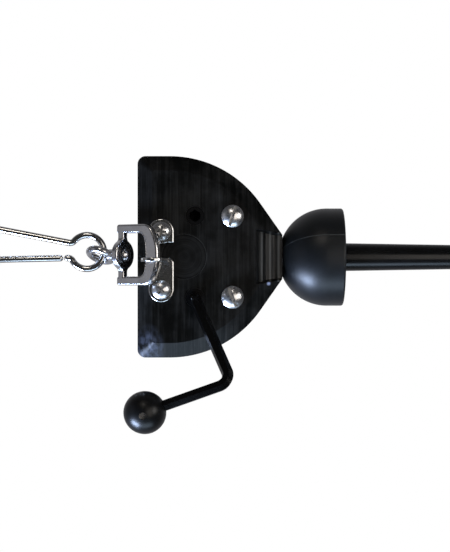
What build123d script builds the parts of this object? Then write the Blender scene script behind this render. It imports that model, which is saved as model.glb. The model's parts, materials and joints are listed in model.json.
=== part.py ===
from build123d import *
import os
from math import acos, asin, cos, pi, radians, sin, sqrt, tan

# A hand-cranked winch head that hangs from a ceiling ring by a wire snap hook and a swivel shackle.
# Millimetres. +Z is up, -Y is the front (the crank side). The origin is the ceiling seat, the inside top
# of the snap hook's crook.

# ---- Fits ----
run_gap = 0.05          # radial gap of a shaft that turns or slides in its bore
seat_gap = 0.02         # radial gap of a piece that stays put in its hole
body_gap = 0.3          # free space between pieces that move past each other

# ---- Snap hook ----
wire_r = 1.4
hook_lean = 4.8         # degrees, the crook stands towards +X of the loop
arm_spread = 6.1        # degrees that each arm leans away from the hook's own centre line
neck_half = 3.4         # centre line to each arm at the neck
neck_drop = 54.6        # seat to the neck, along the hook
loop_drop = 70.7        # seat to the middle of the loop's lowest wire, along the hook
loop_r = 7.3
neck_bend_r = 2.2
nose_length = 3.0       # straight end of the crook above the latch
stub_length = 0.3       # straight stub of the wire below the latch's joint

# ---- Swivel and shackle ----
swivel_x = -6.7
lean_back = 34.0        # degrees that the shackle leans back from the head's front face
rivet_z = -79.1         # middle of the shackle's crossbar
shackle_reach = 16.2    # crossbar middle to lug hole
bow_width = 26.0
bow_bar = 3.8           # width of the bow's sides
bow_t = 3.2
bow_end_width = 6.3     # width of the bow's end, which runs through the lug
bow_end_rise = (4.8, 1.4)     # how far the outer and inner end arcs bow out
bow_corner_r = (5.0, 3.4)     # outer and inner corners beside the end
bow_top = 2.3           # how far the sides stand above the crossbar's middle
bow_round = 1.0
crossbar_t = 3.0
crossbar_width = 3.2
boss_r = 6.3            # round boss in the crossbar's middle
boss_blend_r = 2.0
cup_depth = 0.6         # recess for the washer under the boss
crossbar_round = 0.7
shank_r = 1.9
eye_play = 2.0          # free space around the hook's wire in the eye
eye_wire_r = 1.6
eye_reach = 12.0        # crossbar middle to the eye's middle
eye_turn = 30.0         # degrees that the eye is turned about the swivel's axis
washer_r = 4.3
washer_t = 0.8
rivet_head_r = 2.7
rivet_head_t = 1.5

# ---- Head block ----
head_x = -7.5
front_y = -11.0         # the head's front face, in front of the hook's plane
head_top_z = -85.4
head_height = 62.0
head_width = 86.2
head_t = 28.0
side_straight = 13.8    # straight length of each side below the top
shoulder_r = 47.2
nose_slope = 35.0       # degrees, where the shoulder's arc runs out into the straight flank
corner_r = 3.4
edge_bevel = 6.4        # width of the bevel seen from the front
bevel_depth = 4.5
nose_bevel = 3.4        # height of the bevel at the nose's end
wall_t = 6.0            # front and back walls over the gear space
scoop_r = 14.0
scoop_depth = 6.0
scoop_half = 11.6
scoop_draft = 2.4

# ---- Gears: module 1, stub teeth ----
module = 1.0
drum_teeth = 24
pinion_teeth = 12
pressure_angle = 20.0
addendum = 0.75
dedendum = 1.0
backlash = 0.16
mesh_angle = 15.0       # degrees below level from the drum's axis to each pinion
drum_drop = 20.0        # head top to the drum's axis
gear_width = 4.8
tooth_overhang = 0.2    # pinion teeth past each face of the drum's gear
drum_width = 9.0
flange_r = 11.5
flange_t = 1.5
barrel_r = 5.6
axle_r = 4.0
pinion_shaft_r = 4.0
journal_r = 3.0
journal_length = 4.4
bush_wall = 2.0
plug_r = 9.5
plug_t = 2.0
friction_r = 8.0
friction_t = 0.8
drive_pin_r = 1.0
drive_pin_orbit = 8.0
drive_pins_count = 3

# ---- Crank ----
hex_af = 4.3            # across flats of the lever's bar
socket_gap = 0.1        # each side of the bar in its socket
socket_depth = 12.0
lever_inserted = 11.0
lever_rise = 7.0        # straight length in front of the face before the first bend
elbow_offset = (-33.5, -15.3)
elbow_height = 32.0
knob_offset = (-46.1, 19.7)
knob_height = 29.0
lever_bend_r = 6.0
elbow_bend_r = 4.6
knob_r = 8.7
knob_past = 3.5         # how far the bar runs past the ball's middle
grub_r = 1.5
grub_length = 3.0

# ---- Screws ----
cheek_screw_offset = (17.2, -40.6)
cheek_screw_r = 2.5
cheek_head_r = 4.75
cheek_head_t = 3.0
nut_af = 8.0
nut_t = 4.0
slot_width = 1.4
slot_depth = 1.6
plate_screw_x = (10.75, -14.0)
plate_screw_drop = 10.4
plate_screw_r = 2.0
plate_head_r = 4.0
plate_head_t = 2.5
recess = (4.6, 1.0, 1.6)      # each arm of the cross: length, width and depth
head_rim = 0.3          # share of a screw head's height below its dome
insert_r = 2.9
insert_length = 5.2
dowel_offset = (34.0, -9.0)
dowel_r = 1.5
dowel_length = 10.0

# ---- Eye plate ----
plate_t = 1.7
plate_round = 0.7
lug_round = 0.5
tab_r = 5.4
upper_tab_end = 5.9     # inner end of the shorter tab, from the head's middle
lug_x = -1.3            # middle of the lug, from the head's middle
lug_hole_height = 5.6   # lug hole in front of the head's face
lug_hole_r = 3.6
lug_corner_r = 2.4      # rounded corner where the lug meets the plate's lower edge
lug_rim = 1.6
neck_width = 3.4

# ---- Drop: bell, rod and guide ----
bell_r = 21.1
bell_dome = 20.8        # long half axis of the dome's profile
bell_length = 26.1
bell_rim = 7.0          # straight rim below the dome
rim_round = 0.9
dome_points = 8         # points of the dome's profile that its curve runs through
rod_top_r = 6.05
rod_r = 5.3
rod_taper = 46.0
rod_length = 120.0      # below the bell
rod_tip_r = 4.4         # turned down end that takes a ferrule
rod_tip = 16.0
rod_chamfer = 0.5
rod_spigot_r = 5.2
rod_spigot = 11.0
guide_r = 3.0
guide_bore_r = 1.5
guide_length = 100.0    # below the nose
guide_inside = 14.5     # above the nose's end
collar_r = 5.5
collar_t = 4.0
rod_bore_gap = 0.2
bush_r = 4.3
cord_slot = (14.0, 6.0)

# ---- Places worked out from the sizes above ----
head_mid_y = front_y + head_t / 2
back_y = head_mid_y + head_t / 2
eye_r = eye_wire_r + wire_r + eye_play
washer_top = cup_depth - crossbar_t / 2 - body_gap   # along the swivel, from the crossbar's middle
cavity_front = front_y + wall_t
cavity_back = back_y - wall_t
nose_z = head_top_z - head_height
drum_z = head_top_z - drum_drop
centre_distance = module * (drum_teeth + pinion_teeth) / 2
pinion_dx = centre_distance * cos(radians(mesh_angle))
pinion_z = drum_z - centre_distance * sin(radians(mesh_angle))
crank_x = head_x - pinion_dx
spare_x = head_x + pinion_dx
lug_y = front_y - lug_hole_height
lug_z = rivet_z - shackle_reach * cos(radians(lean_back))
rivet_y = lug_y + shackle_reach * sin(radians(lean_back))
gear_back = cavity_back - 0.6
gear_front = gear_back - gear_width
drum_back = gear_front - tooth_overhang - body_gap
drum_front = drum_back - drum_width
tip_r = module * (drum_teeth / 2 + addendum)
pinion_tip_r = module * (pinion_teeth / 2 + addendum)
bell_top_z = nose_z - body_gap
bell_face_z = bell_top_z - bell_length
rod_end_z = bell_face_z - rod_length


# ---- Helpers ----
def facing(y):
    """A sketch plane at depth y, seen from the front: right is +X, up is +Z, and it extrudes forwards."""
    return Plane(origin=(0, y, 0), x_dir=(1, 0, 0), z_dir=(0, -1, 0))


def rod_y(x, z, radius, y_low, y_high):
    """A round bar along Y."""
    return Pos(x, (y_low + y_high) / 2, z) * Rot(90, 0, 0) * Cylinder(radius, y_high - y_low)


def rod_z(x, y, radius, z_low, z_high):
    """A round bar along Z."""
    return Pos(x, y, (z_low + z_high) / 2) * Cylinder(radius, z_high - z_low)


def hex_y(x, z, across_flats, y_low, y_high):
    """A hexagonal bar along Y."""
    outline = facing(y_high) * Pos(x, z) * RegularPolygon(across_flats / 2, 6, major_radius=False)
    return extrude(outline, y_high - y_low)


def swivel_frame(reach=0.0):
    """The frame at a distance up the swivel's axis from the crossbar; its Z is that axis."""
    tilt = radians(lean_back)
    origin = (swivel_x, rivet_y + reach * sin(tilt), rivet_z + reach * cos(tilt))
    return Plane(origin=origin, x_dir=(1, 0, 0), z_dir=(0, sin(tilt), cos(tilt)))


# ---- Snap hook ----
def hook_point(across, down):
    """A point of the leaning hook, from its own centre line and its distance below the seat."""
    lean = radians(hook_lean)
    x = across * cos(lean) - down * sin(lean)
    z = -across * sin(lean) - down * cos(lean)
    return Vector(x, 0, z)


def crook():
    """The crook's radius and the drop of its middle, so that both arms run into it smoothly."""
    spread = radians(arm_spread)
    radius = (neck_half * cos(spread) + (neck_drop + wire_r) * sin(spread)) / (1 + sin(spread))
    return radius, radius - wire_r


def neck_bend():
    """Where an arm ends and where the loop begins, with the bend between them: points as (across, down)."""
    spread = radians(arm_spread)
    down = Vector(-sin(spread), cos(spread))
    outward = Vector(cos(spread), sin(spread))
    loop_middle = Vector(0, loop_drop - loop_r)
    start = Vector(neck_half, neck_drop) + outward * neck_bend_r - loop_middle
    along = start.dot(down)
    run = -along - sqrt(along**2 - start.dot(start) + (loop_r + neck_bend_r) ** 2)
    middle = loop_middle + start + down * run
    arm_end = middle - outward * neck_bend_r
    loop_start = loop_middle + (middle - loop_middle) * (loop_r / (loop_r + neck_bend_r))
    towards = (arm_end + loop_start) * 0.5 - middle
    bend_middle = middle + towards * (neck_bend_r / towards.length)
    return arm_end, bend_middle, loop_start


def arm_point(side, down):
    """A point on an arm's centre line. side is 1 for the fixed arm and -1 for the latch."""
    return hook_point(side * (neck_half + (neck_drop - down) * tan(radians(arm_spread))), down)


def round_wire(path, radius):
    """A round wire along a path, with its two ends rounded."""
    section = Plane(origin=path @ 0, z_dir=path % 0) * Circle(radius)
    bar = sweep(section, path)
    return bar + Pos(*(path @ 0)) * Sphere(radius) + Pos(*(path @ 1)) * Sphere(radius)


def crook_end_drop():
    """How far below the seat the crook's arc runs out into the arms."""
    radius, middle_drop = crook()
    return middle_drop + radius * sin(radians(arm_spread))


def latch_low_drop():
    """The drop of the latch's lower rounded end, just clear of the wire's stub."""
    return neck_bend()[0].Y - stub_length - 2 * wire_r - body_gap


def snap_wire():
    arm_end, bend_middle, loop_start = neck_bend()
    bend = [arm_end, bend_middle, loop_start]
    fixed = [hook_point(p.X, p.Y) for p in bend]
    latch_side = [hook_point(-p.X, p.Y) for p in bend]
    arm_top = arm_point(1, crook_end_drop())
    nose_top = arm_point(-1, crook_end_drop())
    path = Wire([
        Line(arm_point(-1, arm_end.Y - stub_length), latch_side[0]).edge(),
        ThreePointArc(*latch_side).edge(),
        ThreePointArc(latch_side[2], hook_point(0, loop_drop), fixed[2]).edge(),
        ThreePointArc(fixed[2], fixed[1], fixed[0]).edge(),
        Line(fixed[0], arm_top).edge(),
        ThreePointArc(arm_top, hook_point(0, -wire_r), nose_top).edge(),
        Line(nose_top, arm_point(-1, crook_end_drop() + nose_length)).edge(),
    ])
    return round_wire(path, wire_r)


def latch_arm():
    top = crook_end_drop() + nose_length + 2 * wire_r + body_gap
    path = Line(arm_point(-1, top), arm_point(-1, latch_low_drop()))
    return round_wire(Wire([path.edge()]), wire_r)


# ---- Swivel and shackle ----
def swivel_eye():
    shank_low = washer_top - washer_t
    shank_high = eye_reach - eye_r
    shank = Pos(0, 0, (shank_low + shank_high) / 2) * Cylinder(shank_r, shank_high - shank_low)
    collar_low = crossbar_t / 2 + body_gap
    collar = Pos(0, 0, (collar_low + shank_high) / 2) * Cylinder(shank_r + 0.6, shank_high - collar_low)
    ring = Pos(0, 0, eye_reach) * Rot(0, 0, eye_turn) * Rot(0, 90, 0) * Torus(eye_r, eye_wire_r)
    return swivel_frame() * (shank + collar + ring)


def swivel_washer():
    disc = Cylinder(washer_r, washer_t) - Cylinder(shank_r + seat_gap, washer_t)
    return swivel_frame() * Pos(0, 0, washer_top - washer_t / 2) * disc


def swivel_rivet_head():
    top = washer_top - washer_t
    ball_r = (rivet_head_r**2 + rivet_head_t**2) / (2 * rivet_head_t)
    ball = Pos(0, 0, top - rivet_head_t + ball_r) * Sphere(ball_r)
    dome = ball & Pos(0, 0, top - rivet_head_t / 2) * Cylinder(rivet_head_r, rivet_head_t)
    return swivel_frame() * dome


def bow_outline(half_width, top, end, rise, corner):
    """A U shape's outline: straight sides, rounded corners and a slightly curved end."""
    side_end = rise - end
    outline = Line((-half_width, top), (half_width, top))
    outline += Line((half_width, top), (half_width, side_end))
    outline += ThreePointArc((half_width, side_end), (0, -end), (-half_width, side_end))
    outline += Line((-half_width, side_end), (-half_width, top))
    face = make_face(outline)
    return fillet(face.vertices().sort_by(Axis.Y)[:2], corner)


def shackle_bow():
    half = bow_width / 2
    outer_end = shackle_reach + bow_end_width / 2
    inner_end = shackle_reach - bow_end_width / 2
    outer = bow_outline(half, bow_top, outer_end, bow_end_rise[0], bow_corner_r[0])
    inner = bow_outline(half - bow_bar, bow_top + 1, inner_end, bow_end_rise[1], bow_corner_r[1])
    bow = extrude(outer - inner, bow_t / 2, both=True)
    bow = Rot(90, 0, 0) * fillet(bow.edges(), bow_round)
    bar = Rectangle(bow_width - bow_bar, crossbar_width)
    flat = Circle(boss_r) + bar
    meetings = [v for v in flat.vertices() if abs(v.X) < bow_width / 2 - bow_bar]
    flat = fillet(meetings, boss_blend_r)
    crossbar = extrude(flat, crossbar_t / 2, both=True)
    rims = crossbar.edges().group_by(Axis.Z)
    crossbar = fillet(rims[0] + rims[-1], crossbar_round)
    cup = Pos(0, 0, -crossbar_t / 2) * Cylinder(washer_r + body_gap, 2 * cup_depth)
    hole = Cylinder(shank_r + run_gap, 3 * crossbar_t)
    return swivel_frame() * (bow + (crossbar - cup) - hole)


# ---- Head block ----
def head_outline(inset, corner, nose_inset):
    """The block's outline from the front, drawn in by inset, and by nose_inset at the nose's end."""
    end_z = nose_z + nose_inset
    half = head_width / 2 - inset
    top = head_top_z - inset
    radius = shoulder_r - inset
    slope = radians(nose_slope)
    arc_x = head_width / 2 - shoulder_r
    arc_z = head_top_z - side_straight
    sides = []
    for side in (1, -1):
        def at(x, z):
            return (head_x + side * x, z)
        run_out = (arc_x + radius * sin(slope), arc_z - radius * cos(slope))
        middle_angle = radians((90 + nose_slope) / 2)
        middle = (arc_x + radius * sin(middle_angle), arc_z - radius * cos(middle_angle))
        nose_half = run_out[0] - (run_out[1] - end_z) / tan(slope)
        corner_middle = corner * (1 - sqrt(0.5))
        outline = Line(at(0, top), at(half - corner, top))
        outline += ThreePointArc(at(half - corner, top), at(half - corner_middle, top - corner_middle),
                                 at(half, top - corner))
        outline += Line(at(half, top - corner), at(half, arc_z))
        outline += ThreePointArc(at(half, arc_z), at(*middle), at(*run_out))
        outline += Line(at(*run_out), at(nose_half, end_z))
        outline += Line(at(nose_half, end_z), at(0, end_z))
        sides.append(outline)
    return make_face(sides[0] + sides[1])


def half_block(face_y, split_y):
    """One cheek's solid shape: a straight slab from the split, then a bevel out to its face."""
    forward = 1 if face_y < split_y else -1
    bevel_y = face_y + forward * bevel_depth
    wide = head_outline(0, corner_r, 0)
    narrow = head_outline(edge_bevel, 1.2, nose_bevel)
    slab = extrude(facing(split_y) * wide, split_y - bevel_y)
    bevel = loft([(facing(bevel_y) * wide).face(), (facing(face_y) * narrow).face()], ruled=True)
    return slab + bevel


def gear_space():
    """The room inside the two cheeks for the drum, the gears and the cord's way down."""
    drum_room = rod_y(head_x, drum_z, tip_r + 1.2, cavity_front, cavity_back)
    rooms = [rod_y(x, pinion_z, pinion_tip_r + 1.2, cavity_front, cavity_back) for x in (crank_x, spare_x)]
    slot_top = drum_z - barrel_r
    slot_low = nose_z + guide_inside
    slot = Pos(head_x, head_mid_y, (slot_top + slot_low) / 2) * Box(*cord_slot, slot_top - slot_low)
    return drum_room + rooms + slot


def guide_seat():
    """The split bore and pocket that hold the guide tube and its collar."""
    bore = rod_z(head_x, head_mid_y, guide_r + seat_gap, nose_z - 1, nose_z + guide_inside)
    top = nose_z + guide_inside
    pocket = rod_z(head_x, head_mid_y, collar_r + seat_gap, top - collar_t, top)
    return bore + pocket


def scoop():
    """The hollow milled across the nose's front, with sloping ends."""
    middle_y = front_y - (scoop_r - scoop_depth)
    round_cut = Pos(head_x, middle_y, nose_z) * Rot(0, 90, 0) * Cylinder(scoop_r, 3 * scoop_half)
    ends = Polyline((scoop_half, front_y), (scoop_half - scoop_draft, front_y + scoop_depth),
                    (-scoop_half + scoop_draft, front_y + scoop_depth), (-scoop_half, front_y),
                    (-scoop_half, front_y - 1), (scoop_half, front_y - 1), close=True)
    block = Pos(head_x, 0, nose_z - 2) * extrude(make_face(ends), scoop_r + 4)
    return round_cut & block


def cheek_screw_places():
    x, drop = cheek_screw_offset
    return [(head_x + side * x, head_top_z + drop) for side in (1, -1)]


def plate_screw_places():
    return [(head_x + x, head_top_z - plate_screw_drop) for x in plate_screw_x]


def dowel_places():
    x, drop = dowel_offset
    return [(head_x + side * x, head_top_z + drop) for side in (1, -1)]


def cheek_cuts():
    """What both cheeks are cut with."""
    cuts = gear_space() + guide_seat()
    for x, z in cheek_screw_places():
        cuts += rod_y(x, z, cheek_screw_r + 2 * run_gap, front_y - 1, back_y + 1)
    for x, z in dowel_places():
        half = dowel_length / 2
        cuts += rod_y(x, z, dowel_r + seat_gap, head_mid_y - half - 0.2, head_mid_y + half + 0.2)
    cuts += rod_y(head_x, drum_z, axle_r + seat_gap, front_y, back_y - 1)
    return cuts


def front_cheek():
    cheek = half_block(front_y, head_mid_y) - cheek_cuts() - scoop()
    for x in (crank_x, spare_x):
        cheek -= rod_y(x, pinion_z, pinion_shaft_r + run_gap, front_y - 1, head_mid_y)
    for x, z in plate_screw_places():
        cheek -= rod_y(x, z, insert_r + seat_gap, front_y - 1, front_y + insert_length)
    cheek -= rod_y(head_x, drum_z, plug_r + seat_gap, front_y - 1, front_y + plug_t)
    return cheek


def rear_cheek():
    cheek = half_block(back_y, head_mid_y) - cheek_cuts()
    for x in (crank_x, spare_x):
        cheek -= rod_y(x, pinion_z, journal_r + bush_wall + seat_gap, cavity_back - 1, back_y - 1)
    for x, z in cheek_screw_places():
        cheek -= hex_y(x, z, nut_af + 2 * run_gap, back_y - nut_t, back_y + 1)
    return cheek


def axle_plug():
    return rod_y(head_x, drum_z, plug_r, front_y, front_y + plug_t)


def drum_axle():
    return rod_y(head_x, drum_z, axle_r, front_y + plug_t, back_y - 1)


def friction_washer():
    ring = rod_y(head_x, drum_z, friction_r, cavity_front, cavity_front + friction_t)
    return ring - rod_y(head_x, drum_z, axle_r + seat_gap, cavity_front - 1, cavity_front + friction_t + 1)


def rear_bushes():
    bushes = []
    for x in (crank_x, spare_x):
        sleeve = rod_y(x, pinion_z, journal_r + bush_wall, cavity_back, back_y - 1)
        bushes.append(sleeve - rod_y(x, pinion_z, journal_r + run_gap, cavity_back - 1, back_y))
    return bushes


def dowel_pins():
    half = dowel_length / 2
    return [rod_y(x, z, dowel_r, head_mid_y - half, head_mid_y + half) for x, z in dowel_places()]


def guide_tube():
    top = nose_z + guide_inside - collar_t
    tube = rod_z(head_x, head_mid_y, guide_r, nose_z - guide_length, top + collar_t)
    return tube - rod_z(head_x, head_mid_y, guide_bore_r, nose_z - guide_length - 1, top + collar_t + 1)


def guide_collar():
    top = nose_z + guide_inside
    ring = rod_z(head_x, head_mid_y, collar_r, top - collar_t, top)
    return ring - rod_z(head_x, head_mid_y, guide_r + seat_gap, top - collar_t - 1, top + 1)


# ---- Fasteners ----
def domed_head(radius, height):
    """A screw head that stands on the XY plane: a short straight rim, then a dome."""
    rim = head_rim * height
    rise = height - rim
    dome_r = (radius**2 + rise**2) / (2 * rise)
    half_turn = asin(radius / dome_r) / 2
    middle = (dome_r * sin(half_turn), height - dome_r * (1 - cos(half_turn)))
    profile = Line((0, 0), (radius, 0)) + Line((radius, 0), (radius, rim))
    profile += ThreePointArc((radius, rim), middle, (0, height)) + Line((0, height), (0, 0))
    return revolve(Plane.XZ * make_face(profile), Axis.Z)


def slotted_screw(x, z, turn):
    slot = Rot(0, 0, turn) * Box(3 * cheek_head_r, slot_width, slot_depth)
    slot = Pos(0, 0, cheek_head_t - slot_depth / 2) * slot
    head = facing(front_y) * Pos(x, z) * (domed_head(cheek_head_r, cheek_head_t) - slot)
    return head + rod_y(x, z, cheek_screw_r, front_y, back_y - 0.2)


def cheek_screws():
    turns = (-19.0, 21.0)
    return [slotted_screw(x, z, turn) for (x, z), turn in zip(cheek_screw_places(), turns)]


def cheek_nuts():
    nuts = []
    for x, z in cheek_screw_places():
        nut = hex_y(x, z, nut_af, back_y - nut_t, back_y - 0.2)
        nuts.append(nut - rod_y(x, z, cheek_screw_r + seat_gap, front_y, back_y + 1))
    return nuts


def cross_screw(x, z, turn):
    seat = front_y - plate_t
    head = domed_head(plate_head_r, plate_head_t)
    length, width, depth = recess
    for extra in (0, 90):
        head -= Pos(0, 0, plate_head_t - depth / 2) * Rot(0, 0, turn + extra) * Box(length, width, depth)
    return facing(seat) * Pos(x, z) * head + rod_y(x, z, plate_screw_r, seat, front_y + insert_length)


def eye_plate_screws():
    turns = (-12.0, -40.0)
    return [cross_screw(x, z, turn) for (x, z), turn in zip(plate_screw_places(), turns)]


def eye_plate_inserts():
    inserts = []
    for x, z in plate_screw_places():
        sleeve = rod_y(x, z, insert_r, front_y, front_y + insert_length)
        inserts.append(sleeve - rod_y(x, z, plate_screw_r + seat_gap, front_y - 1, back_y))
    return inserts


# ---- Eye plate ----
def eye_plate():
    plate_z = head_top_z - plate_screw_drop
    upper_x, lower_x = [head_x + x for x in plate_screw_x]
    lug_mid = head_x + lug_x
    lug_low = lug_mid - plate_t / 2
    lug_high = lug_mid + plate_t / 2

    def tab(round_x, square_x):
        middle = (round_x + square_x) / 2
        strip = Pos(middle, plate_z) * Rectangle(abs(round_x - square_x), 2 * tab_r)
        return strip + Pos(round_x, plate_z) * Circle(tab_r)

    neck_end = head_x + upper_tab_end
    neck_z = plate_z + tab_r - 1.4 - neck_width / 2
    neck = Pos((lug_low + neck_end) / 2, neck_z) * Rectangle(neck_end - lug_low + 2, neck_width)
    outline = tab(upper_x, neck_end) + tab(lower_x, lug_high) + neck
    corner = outline.vertices().sort_by_distance((lug_high, plate_z - tab_r, 0))[0]
    plate = extrude(facing(front_y) * fillet(corner, lug_corner_r), plate_t)
    plate = fillet(plate.edges().group_by(Axis.Y)[0], plate_round)
    for x in (upper_x, lower_x):
        plate -= rod_y(x, plate_z, plate_screw_r + 2 * run_gap, front_y - 2 * plate_t, front_y + 1)
    side = Plane(origin=(lug_low, 0, 0), x_dir=(0, 1, 0), z_dir=(1, 0, 0))
    foot_low = plate_z - tab_r + lug_corner_r
    foot_high = plate_z + tab_r - 0.5
    foot = Rectangle(lug_hole_height, foot_high - foot_low)
    foot = Pos((lug_y + front_y) / 2, (foot_low + foot_high) / 2) * foot
    lug = make_hull((foot + Pos(lug_y, lug_z) * Circle(lug_hole_r + lug_rim)).edges())
    lug = lug - Pos(lug_y, lug_z) * Circle(lug_hole_r)
    lug = extrude(side * lug, plate_t)
    return plate + fillet(lug.edges().filter_by(GeomType.CIRCLE), lug_round)


# ---- Gears and drum ----
def gear_face(teeth):
    """A spur gear outline with involute flanks and a tooth on the +X side."""
    pitch_r = module * teeth / 2
    base_r = pitch_r * cos(radians(pressure_angle))
    outer_r = pitch_r + addendum * module
    root_r = pitch_r - dedendum * module

    def involute(radius):
        angle = acos(min(1.0, base_r / radius))
        return tan(angle) - angle

    half_pitch = (pi * module / 2 - backlash) / (2 * pitch_r)

    def half_angle(radius):
        return half_pitch + involute(pitch_r) - involute(max(radius, base_r))

    steps = 5
    flank_start = max(root_r, base_r)
    radii = [flank_start + (outer_r - flank_start) * i / (steps - 1) for i in range(steps)]
    flank = [(root_r, half_angle(base_r))] if root_r < base_r else []
    flank += [(radius, half_angle(radius)) for radius in radii]
    points = []
    for tooth in range(teeth):
        middle = 2 * pi * tooth / teeth
        rising = [(radius, middle - angle) for radius, angle in flank]
        falling = [(radius, middle + angle) for radius, angle in reversed(flank)]
        points += [(radius * cos(angle), radius * sin(angle)) for radius, angle in rising + falling]
    return make_face(Polyline(*points, close=True))


def spur_gear(teeth, x, z, y_low, y_high):
    return extrude(facing(y_high) * Pos(x, z) * gear_face(teeth), y_high - y_low)


def drive_pin_places():
    turns = [2 * pi * (i + 0.25) / drive_pins_count for i in range(drive_pins_count)]
    return [(head_x + drive_pin_orbit * cos(t), drum_z + drive_pin_orbit * sin(t)) for t in turns]


def cord_drum():
    drum = rod_y(head_x, drum_z, barrel_r, drum_front, drum_back)
    drum += rod_y(head_x, drum_z, flange_r, drum_front, drum_front + flange_t)
    drum += rod_y(head_x, drum_z, flange_r, drum_back - flange_t, drum_back)
    drum -= rod_y(head_x, drum_z, axle_r + run_gap, drum_front - 1, drum_back + 1)
    for x, z in drive_pin_places():
        drum -= rod_y(x, z, drive_pin_r + seat_gap, drum_back - flange_t - 0.1, drum_back + 1)
    return drum


def drum_gear():
    gear = spur_gear(drum_teeth, head_x, drum_z, gear_front, gear_back)
    gear -= rod_y(head_x, drum_z, axle_r + run_gap, gear_front - 1, gear_back + 1)
    for x, z in drive_pin_places():
        gear -= rod_y(x, z, drive_pin_r + seat_gap, gear_front - 1, gear_back + 1)
    return gear


def drive_pins():
    return [rod_y(x, z, drive_pin_r, drum_back - flange_t, gear_back) for x, z in drive_pin_places()]


def pinion(x):
    """A pinion with its shaft out to the front face, a hexagonal socket and a rear journal."""
    piece = spur_gear(pinion_teeth, x, pinion_z, gear_front - tooth_overhang, gear_back + tooth_overhang)
    piece += rod_y(x, pinion_z, pinion_shaft_r, front_y, gear_front)
    piece += rod_y(x, pinion_z, journal_r, gear_back, cavity_back + journal_length)
    piece -= hex_y(x, pinion_z, hex_af + 2 * socket_gap, front_y - 1, front_y + socket_depth)
    return piece


# ---- Crank ----
def lever_points():
    """The lever's corners: in the socket, the first bend, the elbow and the end in the ball."""
    elbow = Vector(crank_x + elbow_offset[0], front_y - elbow_height, pinion_z + elbow_offset[1])
    knob = Vector(crank_x + knob_offset[0], front_y - knob_height, pinion_z + knob_offset[1])
    foot = Vector(crank_x, front_y + lever_inserted, pinion_z)
    bend = Vector(crank_x, front_y - lever_rise, pinion_z)
    end = knob + (knob - elbow).normalized() * knob_past
    return foot, bend, elbow, knob, end


def crank_lever():
    foot, bend, elbow, _, end = lever_points()
    path = FilletPolyline(foot, bend, elbow, end, radius=[lever_bend_r, elbow_bend_r])
    section = facing(foot.Y) * Pos(foot.X, foot.Z) * RegularPolygon(hex_af / 2, 6, major_radius=False)
    return sweep(section, path.wire())


def ball_knob():
    elbow, knob, end = lever_points()[2:]
    inward = (elbow - knob).normalized()
    rearward = Vector(0, 1, 0) - inward * inward.Y
    frame = Plane(origin=knob, x_dir=rearward, z_dir=inward)
    hole_low = -knob_past - run_gap
    hole_length = knob_r + 1 - hole_low
    hole = Pos(0, 0, hole_low + hole_length / 2) * Cylinder(hex_af / sqrt(3) + run_gap, hole_length)
    ball = frame * (Sphere(knob_r) - hole)
    return ball - grub_bore(grub_r + seat_gap, 2 * knob_r)


def grub_bore(radius, depth):
    """A round bar on the ball's front, in line with the grub screw and just clear of the lever."""
    knob = lever_points()[3]
    inner = knob.Y - hex_af / sqrt(3) - 0.4
    return rod_y(knob.X - 0.7, knob.Z + 0.4, radius, inner - depth, inner)


def knob_grub_screw():
    return grub_bore(grub_r, grub_length)


# ---- Drop ----
def bell():
    flat_r = bell_r * sqrt(1 - ((bell_length - bell_rim) / bell_dome) ** 2)
    rim_z = bell_face_z + bell_rim
    last_turn = acos(flat_r / bell_r)
    turns = [last_turn * i / dome_points for i in range(dome_points + 1)]
    dome = [(bell_r * cos(t), rim_z + bell_dome * sin(t)) for t in turns]
    profile = Line((0, bell_top_z), (flat_r, bell_top_z))
    profile += Spline(*dome)
    profile += Line((bell_r, rim_z), (bell_r, bell_face_z + rim_round))
    profile += ThreePointArc((bell_r, bell_face_z + rim_round),
                             (bell_r - rim_round * 0.293, bell_face_z + rim_round * 0.293),
                             (bell_r - rim_round, bell_face_z))
    profile += Line((bell_r - rim_round, bell_face_z), (0, bell_face_z))
    profile += Line((0, bell_face_z), (0, bell_top_z))
    solid = revolve(Plane.XZ * make_face(profile), Axis.Z)
    solid = Pos(head_x, head_mid_y, 0) * solid
    spigot_top = bell_face_z + rod_spigot
    solid -= rod_z(head_x, head_mid_y, rod_spigot_r + seat_gap, bell_face_z - 1, spigot_top)
    return solid - rod_z(head_x, head_mid_y, bush_r + seat_gap, spigot_top - 1, bell_top_z + 1)


def bell_bush():
    low = bell_face_z + rod_spigot
    sleeve = rod_z(head_x, head_mid_y, bush_r, low, bell_top_z)
    return sleeve - rod_z(head_x, head_mid_y, guide_r + run_gap, low - 1, bell_top_z + 1)


def drop_rod():
    spigot = rod_z(head_x, head_mid_y, rod_spigot_r, bell_face_z, bell_face_z + rod_spigot)
    taper = Pos(head_x, head_mid_y, bell_face_z - rod_taper / 2) * Cone(rod_r, rod_top_r, rod_taper)
    straight = rod_z(head_x, head_mid_y, rod_r, rod_end_z + rod_tip, bell_face_z - rod_taper)
    straight = chamfer(straight.edges().group_by(Axis.Z)[0], rod_chamfer)
    tip = rod_z(head_x, head_mid_y, rod_tip_r, rod_end_z, rod_end_z + rod_tip)
    tip = chamfer(tip.edges().group_by(Axis.Z)[0], rod_chamfer)
    bore_low = nose_z - guide_length - 3
    bore = rod_z(head_x, head_mid_y, guide_r + rod_bore_gap, bore_low, bell_top_z)
    return spigot + taper + straight + tip - bore


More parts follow.
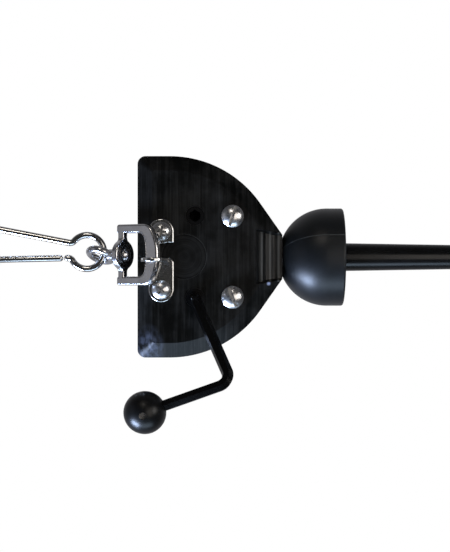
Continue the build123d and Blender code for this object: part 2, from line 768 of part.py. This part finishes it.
PIECES = {
    "snap_wire": snap_wire,
    "latch_arm": latch_arm,
    "swivel_eye": swivel_eye,
    "swivel_washer": swivel_washer,
    "swivel_rivet_head": swivel_rivet_head,
    "shackle_bow": shackle_bow,
    "front_cheek": front_cheek,
    "rear_cheek": rear_cheek,
    "eye_plate": eye_plate,
    "eye_plate_screws": eye_plate_screws,
    "eye_plate_inserts": eye_plate_inserts,
    "cheek_screws": cheek_screws,
    "cheek_nuts": cheek_nuts,
    "dowel_pins": dowel_pins,
    "drum_axle": drum_axle,
    "axle_plug": axle_plug,
    "friction_washer": friction_washer,
    "rear_bushes": rear_bushes,
    "guide_tube": guide_tube,
    "guide_collar": guide_collar,
    "cord_drum": cord_drum,
    "drum_gear": drum_gear,
    "drive_pins": drive_pins,
    "crank_pinion": lambda: pinion(crank_x),
    "crank_lever": crank_lever,
    "ball_knob": ball_knob,
    "knob_grub_screw": knob_grub_screw,
    "spare_pinion": lambda: pinion(spare_x),
    "bell": bell,
    "bell_bush": bell_bush,
    "drop_rod": drop_rod,
}


os.makedirs("parts", exist_ok=True)
for name, make in PIECES.items():
    piece = make()
    if isinstance(piece, list):
        piece = Compound(children=piece)
    export_step(piece, f"parts/{name}.step")
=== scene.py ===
import json
import math

import bmesh
import bpy
from mathutils import Matrix, Vector


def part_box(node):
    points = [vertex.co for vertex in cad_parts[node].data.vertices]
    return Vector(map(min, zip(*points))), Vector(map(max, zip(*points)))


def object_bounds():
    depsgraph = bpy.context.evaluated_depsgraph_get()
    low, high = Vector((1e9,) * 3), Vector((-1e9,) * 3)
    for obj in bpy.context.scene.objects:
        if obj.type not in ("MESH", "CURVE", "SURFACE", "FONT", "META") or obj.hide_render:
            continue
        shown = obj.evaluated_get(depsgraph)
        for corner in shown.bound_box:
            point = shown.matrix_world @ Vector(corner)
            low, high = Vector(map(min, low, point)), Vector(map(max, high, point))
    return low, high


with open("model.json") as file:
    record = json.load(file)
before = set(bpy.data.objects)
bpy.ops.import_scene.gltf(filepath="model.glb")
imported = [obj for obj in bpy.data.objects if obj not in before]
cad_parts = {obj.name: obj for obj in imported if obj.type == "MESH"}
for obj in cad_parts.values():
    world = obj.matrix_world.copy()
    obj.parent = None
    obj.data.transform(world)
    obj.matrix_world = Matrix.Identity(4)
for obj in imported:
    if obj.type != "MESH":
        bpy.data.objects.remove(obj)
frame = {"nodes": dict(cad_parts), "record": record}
cad_low, cad_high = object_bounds()
MM = 0.001

# ---- Camera: the object lies on its side in the picture, its top to the left ----
VIEW_DISTANCE = 0.62
LENS = 95.2
VIEW_X = -0.0157
VIEW_Z = -0.1228

# ---- Room and floor ----
ROOM_FRONT = (0.030, 0.030, 0.030)
ROOM_SIDE = (0.06, 0.06, 0.065)
ROOM_BACK = (0.42, 0.42, 0.44)
FLOOR_DROP = 0.06
FLOOR_HALF = 0.45

# ---- Details ----
PARTING_TURN = 26.0     # degrees from the front to the bell's parting line
LEVER_EDGE = 0.3 * MM   # width of the lever's broken edges
CORNER_PLACE = (4.5 * MM, 5.0 * MM)     # the painted highlight patch on the lower corner, from the block's side and its top
SCOOP_HALF = 10.6 * MM  # half width of the banded part of the nose's hollow
SCOOP_HEIGHT = 11.0 * MM
SCOOP_CLEAR = 0.3 * MM  # rim of the hollow and depth from the face that stay plain
BAND_PITCH = 3.6 * MM
BAND_START = 1.7 * MM   # from the nose's end to the middle of the first band
GLINT_PLACE = (-11.4 * MM, 6.0 * MM)   # the painted glint, from the nose's middle and its end

# ---- Lights: name, place, aim, size, watts and colour ----
LIGHTS = (
    ("key", (-0.37, -0.12, 0.17), (-0.02, 0, -0.13), (0.14, 0.22), 5.6, (0.56, 0.70, 1.0)),
    ("low key", (-0.50, -0.20, -0.16), (-0.02, 0, -0.12), (0.2, 0.4), 0.9, (0.62, 0.80, 1.0)),
    ("side", (0.42, -0.45, -0.02), (-0.01, 0, -0.1), (0.10, 0.16), 0.30, (1.0, 0.93, 0.84)),
    ("warm", (0.0, -0.66, -0.44), (-0.01, 0, -0.2), (0.5, 0.34), 0.9, (1.0, 0.92, 0.84)),
    ("right", (0.04, -0.30, -0.50), (-0.01, 0, -0.12), (0.22, 0.16), 0.5, (1.0, 0.97, 0.93)),
    ("card", (0.03, -0.17, 0.30), (-0.01, 0, -0.09), (0.30, 0.20), 0.04, (0.95, 0.95, 1.0)),
)


def make_camera():
    data = bpy.data.cameras.new("camera")
    data.lens = LENS
    data.sensor_width = 36.0
    data.clip_start = 0.01
    camera = bpy.data.objects.new("camera", data)
    bpy.context.scene.collection.objects.link(camera)
    front_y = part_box("front_cheek")[0][1]
    right, up, back = Vector((0, 0, -1)), Vector((1, 0, 0)), Vector((0, -1, 0))
    turn = Matrix((right, up, back)).transposed().to_4x4()
    camera.matrix_world = Matrix.Translation((VIEW_X, front_y - VIEW_DISTANCE, VIEW_Z)) @ turn
    bpy.context.scene.camera = camera


# ---- Light and floor ----
def area_light(name, place, aim, size, power, colour):
    data = bpy.data.lights.new(name, "AREA")
    data.shape = "RECTANGLE"
    data.size, data.size_y = size
    data.energy = power
    data.color = colour
    light = bpy.data.objects.new(name, data)
    bpy.context.scene.collection.objects.link(light)
    light.location = place
    light.rotation_mode = "QUATERNION"
    light.rotation_quaternion = (Vector(aim) - Vector(place)).to_track_quat("-Z", "Y")


def make_world():
    """White paper to the camera. In reflections, a room that is dark in front and lighter behind."""
    world = bpy.data.worlds.new("studio")
    world.use_nodes = True
    nodes, links = world.node_tree.nodes, world.node_tree.links
    nodes.clear()
    where = nodes.new("ShaderNodeTexCoord")
    parts = nodes.new("ShaderNodeSeparateXYZ")
    links.new(where.outputs["Generated"], parts.inputs[0])
    depth = nodes.new("ShaderNodeMapRange")
    depth.inputs["From Min"].default_value = -1.0
    depth.inputs["From Max"].default_value = 1.0
    links.new(parts.outputs["Y"], depth.inputs["Value"])
    ramp = nodes.new("ShaderNodeValToRGB")
    stops = ramp.color_ramp.elements
    stops[0].position, stops[0].color = 0.0, (*ROOM_FRONT, 1)
    stops[1].position, stops[1].color = 1.0, (*ROOM_BACK, 1)
    middle = stops.new(0.44)
    middle.color = (*ROOM_SIDE, 1)
    links.new(depth.outputs["Result"], ramp.inputs["Fac"])
    room = nodes.new("ShaderNodeBackground")
    links.new(ramp.outputs["Color"], room.inputs["Color"])
    path = nodes.new("ShaderNodeLightPath")
    paper = nodes.new("ShaderNodeBackground")
    mix = nodes.new("ShaderNodeMixShader")
    out = nodes.new("ShaderNodeOutputWorld")
    paper.inputs["Color"].default_value = (1, 1, 1, 1)
    links.new(path.outputs["Is Camera Ray"], mix.inputs[0])
    links.new(room.outputs[0], mix.inputs[1])
    links.new(paper.outputs[0], mix.inputs[2])
    links.new(mix.outputs[0], out.inputs["Surface"])
    bpy.context.scene.world = world
    bpy.context.scene.view_settings.view_transform = "Standard"


def make_floor():
    mesh = bpy.data.meshes.new("floor")
    bm = bmesh.new()
    bmesh.ops.create_grid(bm, x_segments=1, y_segments=1, size=FLOOR_HALF)
    bm.to_mesh(mesh)
    bm.free()
    floor = bpy.data.objects.new("floor", mesh)
    floor.location = (0, 0, cad_low[2] - FLOOR_DROP)
    bpy.context.scene.collection.objects.link(floor)
    material, shader = new_material("floor", (0.85, 0.85, 0.85), 0.0, 0.9)
    shader.inputs["Emission Color"].default_value = (1, 1, 1, 1)
    shader.inputs["Emission Strength"].default_value = 0.8
    mesh.materials.append(material)
    floor.visible_glossy = False


# ---- Materials ----
def new_material(name, colour, metallic, roughness, **extra):
    """A material with its constant values set, and its shader, to be given detail."""
    material = bpy.data.materials.new(name)
    material.use_nodes = True
    shader = material.node_tree.nodes["Principled BSDF"]
    shader.inputs["Base Color"].default_value = (*colour, 1)
    shader.inputs["Metallic"].default_value = metallic
    shader.inputs["Roughness"].default_value = roughness
    for socket, value in extra.items():
        shader.inputs[socket.replace("_", " ")].default_value = value
    return material, shader


def place_node(material, stretch=(1, 1, 1), turn=(0, 0, 0)):
    """Object coordinates, stretched and turned."""
    nodes, links = material.node_tree.nodes, material.node_tree.links
    where = nodes.new("ShaderNodeTexCoord")
    mapping = nodes.new("ShaderNodeMapping")
    mapping.inputs["Scale"].default_value = stretch
    mapping.inputs["Rotation"].default_value = turn
    links.new(where.outputs["Object"], mapping.inputs["Vector"])
    return mapping.outputs["Vector"]


def noise_node(material, vector, scale, detail=3.0, roughness=0.55):
    node = material.node_tree.nodes.new("ShaderNodeTexNoise")
    node.inputs["Scale"].default_value = scale
    node.inputs["Detail"].default_value = detail
    node.inputs["Roughness"].default_value = roughness
    material.node_tree.links.new(vector, node.inputs["Vector"])
    return node.outputs["Fac"]


def ramp_node(material, value, low, high, low_at=0.3, high_at=0.7):
    """The value mapped from low to high, as a number or a colour."""
    node = material.node_tree.nodes.new("ShaderNodeValToRGB")
    first, last = node.color_ramp.elements
    first.position, last.position = low_at, high_at
    first.color = (*low, 1) if isinstance(low, tuple) else (low, low, low, 1)
    last.color = (*high, 1) if isinstance(high, tuple) else (high, high, high, 1)
    material.node_tree.links.new(value, node.inputs["Fac"])
    return node.outputs["Color"]


def add_bump(material, shader, height, depth, strength=1.0):
    """A bump of a depth in metres, on top of any that the shader has."""
    nodes, links = material.node_tree.nodes, material.node_tree.links
    bump = nodes.new("ShaderNodeBump")
    bump.inputs["Distance"].default_value = depth
    bump.inputs["Strength"].default_value = strength
    links.new(height, bump.inputs["Height"])
    before = shader.inputs["Normal"].links
    if before:
        links.new(before[0].from_socket, bump.inputs["Normal"])
    links.new(bump.outputs["Normal"], shader.inputs["Normal"])


def math_node(material, kind, first, second=None):
    """A math node on one or two values, each a socket or a number."""
    node = material.node_tree.nodes.new("ShaderNodeMath")
    node.operation = kind
    for socket, value in zip(node.inputs, (first, second)):
        if isinstance(value, (int, float)):
            socket.default_value = value
        elif value is not None:
            material.node_tree.links.new(value, socket)
    return node.outputs[0]


def vector_node(material, kind, first, second=None):
    """A vector math node on a socket, and a constant where the kind needs one."""
    node = material.node_tree.nodes.new("ShaderNodeVectorMath")
    node.operation = kind
    material.node_tree.links.new(first, node.inputs[0])
    if second is not None:
        node.inputs[1].default_value = second
    return node


def offset_from(material, centre):
    """Object coordinates, measured from the centre."""
    where = material.node_tree.nodes.new("ShaderNodeTexCoord")
    return vector_node(material, "SUBTRACT", where.outputs["Object"], centre).outputs["Vector"]


def distance_from(material, centre, across):
    """The distance from a line through the centre, with each direction weighted by across."""
    kept = vector_node(material, "MULTIPLY", offset_from(material, centre), across)
    return vector_node(material, "LENGTH", kept.outputs["Vector"]).outputs["Value"]


def plane_distance(material, centre, normal):
    """The signed distance from a plane."""
    return vector_node(material, "DOT_PRODUCT", offset_from(material, centre), normal).outputs["Value"]


def line_vector(material, value):
    """A vector whose X is the value, to sample noise in lines of equal value."""
    join = material.node_tree.nodes.new("ShaderNodeCombineXYZ")
    material.node_tree.links.new(value, join.inputs[0])
    return join.outputs[0]


def between(material, value, low, high):
    """1 where the value lies between low and high, else 0."""
    above = math_node(material, "GREATER_THAN", value, low)
    below = math_node(material, "LESS_THAN", value, high)
    return math_node(material, "MULTIPLY", above, below)


def over_colour(material, shader, factor, colour):
    """Lays a colour over the shader's own colour by a factor."""
    links = material.node_tree.links
    mix = material.node_tree.nodes.new("ShaderNodeMix")
    mix.data_type = "RGBA"
    links.new(factor, mix.inputs["Factor"])
    links.new(shader.inputs["Base Color"].links[0].from_socket, mix.inputs["A"])
    mix.inputs["B"].default_value = (*colour, 1)
    links.new(mix.outputs["Result"], shader.inputs["Base Color"])


def milled_black(name, turned_about=None):
    """Black anodised face with fine cutter lines, a few scratches and worn patches."""
    material, shader = new_material(name, (0.004, 0.004, 0.004), 0.0, 0.36, IOR=1.3)
    links = material.node_tree.links
    if turned_about is None:
        lines = noise_node(material, place_node(material, (40, 40, 2400)), 1.0, 5.0, 0.7)
        wide_lines = noise_node(material, place_node(material, (25, 25, 620)), 1.0, 4.0, 0.7)
    else:
        radius = distance_from(material, turned_about, (1, 0, 1))
        lines = noise_node(material, line_vector(material, radius), 2600.0, 3.0, 0.7)
        wide_lines = noise_node(material, line_vector(material, radius), 700.0, 3.0, 0.7)
    cross_lines = noise_node(material, place_node(material, (900, 40, 60)), 1.0, 3.0, 0.6)
    patches = noise_node(material, place_node(material), 60.0, 5.0, 0.65)
    scratch_place = place_node(material, (60, 60, 900), (0, math.radians(24), 0))
    scratches = noise_node(material, scratch_place, 1.0, 2.0)
    worn = math_node(material, "MULTIPLY", lines, patches)
    worn = math_node(material, "ADD", worn, math_node(material, "MULTIPLY", wide_lines, 0.5))
    links.new(ramp_node(material, worn, (0.0010, 0.0012, 0.0010), (0.0190, 0.0185, 0.0170), 0.44, 0.70),
              shader.inputs["Base Color"])
    links.new(ramp_node(material, patches, 0.28, 0.44, 0.3, 0.7), shader.inputs["Roughness"])
    add_bump(material, shader, lines, 0.00006, 0.5)
    add_bump(material, shader, wide_lines, 0.00008, 0.4)
    add_bump(material, shader, cross_lines, 0.00003, 0.3)
    add_bump(material, shader, ramp_node(material, scratches, 0.0, 1.0, 0.66, 0.72), 0.00003, 0.4)
    return material


def painted_joint_highlight(material):
    """A painted highlight: a pale, broken line round the plug's joint in the face, where the joint's edge
    catches the light.
    """
    shader = material.node_tree.nodes["Principled BSDF"]
    low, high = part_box("axle_plug")
    off = distance_from(material, ((low + high) / 2)[:], (1, 0, 1))
    off = math_node(material, "ABSOLUTE", math_node(material, "SUBTRACT", off, (high[0] - low[0]) / 2))
    ring = ramp_node(material, math_node(material, "MULTIPLY", off, 1000.0), 1.0, 0.0, 0.05, 0.45)
    broken = ramp_node(material, noise_node(material, place_node(material), 70.0), 0.0, 1.0, 0.42, 0.62)
    # painted highlight: a pale line along the joint's edge
    over_colour(material, shader, math_node(material, "MULTIPLY", ring, broken), (0.030, 0.030, 0.028))


def painted_corner_highlight(material):
    """A painted highlight: a cool grey patch on the block's lower corner, where it catches the key lamp.
    """
    shader = material.node_tree.nodes["Principled BSDF"]
    low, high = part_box("front_cheek")
    side, down = CORNER_PLACE
    off = distance_from(material, (low[0] + side, low[1], high[2] - down), (0.7, 0, 1))
    near = ramp_node(material, math_node(material, "MULTIPLY", off, 100.0), 1.0, 0.0, 0.10, 0.72)
    grain = noise_node(material, place_node(material, (1, 1, 2)), 300.0, 6.0)
    broken_highlight = ramp_node(material, grain, 0.0, 1.0, 0.36, 0.66)
    # painted highlight: cool grey where the corner catches the key lamp
    over_colour(material, shader, math_node(material, "MULTIPLY", near, broken_highlight), (0.075, 0.085, 0.115))


def scallops_and_painted_highlights(material):
    """Cutter bands across the nose's hollow: bumps for their relief and painted highlights in their
    colour, and one small painted glint on its edge.
    """
    shader = material.node_tree.nodes["Principled BSDF"]
    low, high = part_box("front_cheek")
    middle_x = (low[0] + high[0]) / 2
    where = material.node_tree.nodes.new("ShaderNodeTexCoord")
    parts = material.node_tree.nodes.new("ShaderNodeSeparateXYZ")
    material.node_tree.links.new(where.outputs["Object"], parts.inputs[0])
    x, y, z = parts.outputs
    inside = between(material, x, middle_x - SCOOP_HALF, middle_x + SCOOP_HALF)
    along = between(material, z, low[2] + SCOOP_CLEAR, low[2] + SCOOP_HEIGHT)
    sunk = math_node(material, "GREATER_THAN", y, low[1] + SCOOP_CLEAR)
    inside = math_node(material, "MULTIPLY", math_node(material, "MULTIPLY", inside, along), sunk)
    height = math_node(material, "SUBTRACT", z, low[2] + BAND_START)
    wave = math_node(material, "COSINE", math_node(material, "MULTIPLY", height, 2 * math.pi / BAND_PITCH))
    bright = ramp_node(material, wave, 0.0, 1.0, 0.45, 0.95)
    # painted highlights on the bands' crests
    over_colour(material, shader, math_node(material, "MULTIPLY", inside, bright), (0.070, 0.068, 0.062))
    add_bump(material, shader, math_node(material, "MULTIPLY", inside, wave), 0.0002, 0.7)
    across, up = GLINT_PLACE
    glint_distance = distance_from(material, (middle_x + across, low[1], low[2] + up), (1, 0, 1))
    spot = ramp_node(material, math_node(material, "MULTIPLY", glint_distance, 1000.0), 1.0, 0.0, 0.5, 1.0)
    # painted glint: a small bright bluish spot
    over_colour(material, shader, spot, (0.20, 0.23, 0.33))


def moulded_bell():
    """Smooth satin black rubber with its mould's parting line, a little proud and pale."""
    material = smooth_black("bell_rubber", (0.005, 0.006, 0.007), 0.34, 0.42, 0.000005)
    shader = material.node_tree.nodes["Principled BSDF"]
    low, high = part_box("bell")
    centre = ((low + high) / 2)[:]
    turn = math.radians(PARTING_TURN)
    across = (math.cos(turn), math.sin(turn), 0)
    off = math_node(material, "ABSOLUTE", plane_distance(material, centre, across))
    wobble = noise_node(material, place_node(material), 180.0, 2.0)
    off = math_node(material, "ADD", off, math_node(material, "MULTIPLY", wobble, 0.0003))
    line = ramp_node(material, math_node(material, "MULTIPLY", off, 1000.0), 1.0, 0.0, 0.17, 0.42)
    over_colour(material, shader, line, (0.055, 0.06, 0.06))
    add_bump(material, shader, line, 0.00008, 0.6)
    return material


def smooth_black(name, colour, rough_low, rough_high, grain, ior=1.45):
    """Black plastic, rubber or paint: fine grain, with faint smears in its gloss."""
    material, shader = new_material(name, colour, 0.0, rough_low, IOR=ior)
    smears = noise_node(material, place_node(material), 45.0, 4.0)
    grit = noise_node(material, place_node(material), 2600.0, 2.0)
    links = material.node_tree.links
    links.new(ramp_node(material, smears, rough_low, rough_high), shader.inputs["Roughness"])
    dark = tuple(c * 0.7 for c in colour)
    bright = tuple(c * 1.4 for c in colour)
    links.new(ramp_node(material, smears, dark, bright, 0.35, 0.75), shader.inputs["Base Color"])
    add_bump(material, shader, grit, grain, 0.5)
    return material


def bright_metal(name, colour, rough_low, rough_high, ripple, tarnish=0.8):
    """Bright metal with soft ripples from polishing, fine marks and a little tarnish."""
    material, shader = new_material(name, colour, 1.0, rough_low)
    ripples = noise_node(material, place_node(material), 170.0, 2.0)
    marks = noise_node(material, place_node(material), 900.0, 3.0)
    links = material.node_tree.links
    links.new(ramp_node(material, marks, rough_low, rough_high), shader.inputs["Roughness"])
    dull = tuple(c * tarnish for c in colour)
    links.new(ramp_node(material, ripples, dull, colour, 0.3, 0.55), shader.inputs["Base Color"])
    add_bump(material, shader, ripples, ripple, 0.5)
    return material


def make_materials():
    block = milled_black("milled_black")
    # painted highlights over the block's colour: along the plug's joint, on the lower corner, and in the
    # nose's hollow
    painted_joint_highlight(block)
    painted_corner_highlight(block)
    scallops_and_painted_highlights(block)
    return {
        "black_block": block,
        "black_bar": smooth_black("black_bar", (0.002, 0.002, 0.002), 0.16, 0.26, 0.000003, 1.35),
        "black_shaft": smooth_black("black_shaft", (0.0015, 0.0015, 0.0015), 0.35, 0.5, 0.000004, 1.25),
        "ball_plastic": smooth_black("ball_plastic", (0.003, 0.003, 0.003), 0.30, 0.38, 0.000005, 1.38),
        "bell_rubber": moulded_bell(),
        "rod_gloss": smooth_black("rod_gloss", (0.003, 0.003, 0.003), 0.18, 0.26, 0.000002, 1.4),
        "stainless": bright_metal("stainless", (0.74, 0.73, 0.71), 0.10, 0.18, 0.000008),
        "cast_steel": bright_metal("cast_steel", (0.74, 0.73, 0.74), 0.16, 0.28, 0.00003),
        "zinc_screws": bright_metal("zinc_screws", (0.80, 0.80, 0.80), 0.24, 0.36, 0.00002),
        "plate_steel": bright_metal("plate_steel", (0.74, 0.74, 0.73), 0.14, 0.22, 0.00001),
        "brass": bright_metal("brass", (0.72, 0.53, 0.24), 0.22, 0.34, 0.00001),
        "inner_steel": bright_metal("inner_steel", (0.52, 0.52, 0.53), 0.25, 0.4, 0.00001),
        "drum_aluminium": bright_metal("drum_aluminium", (0.74, 0.74, 0.75), 0.25, 0.4, 0.00001),
    }


def soften_edges(name, width):
    """Breaks a node's sharp edges so that they catch the light."""
    bevel = frame["nodes"][name].modifiers.new("edges", "BEVEL")
    bevel.width = width
    bevel.segments = 2
    bevel.limit_method = "ANGLE"
    bevel.angle_limit = math.radians(35)


def dress_nodes(materials):
    """Gives each CAD node the material of its slot in the record."""
    for entry in frame["record"]["subparts"]:
        node = frame["nodes"][entry["node"]]
        for place in node.material_slots:
            place.material = materials[entry["material_slot"]]
    low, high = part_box("axle_plug")
    turned = milled_black("turned_black", ((low + high) / 2)[:])
    for place in frame["nodes"]["axle_plug"].material_slots:
        place.material = turned


make_camera()
make_world()
make_floor()
for light in LIGHTS:
    area_light(*light)
materials = make_materials()
dress_nodes(materials)
soften_edges("crank_lever", LEVER_EDGE)
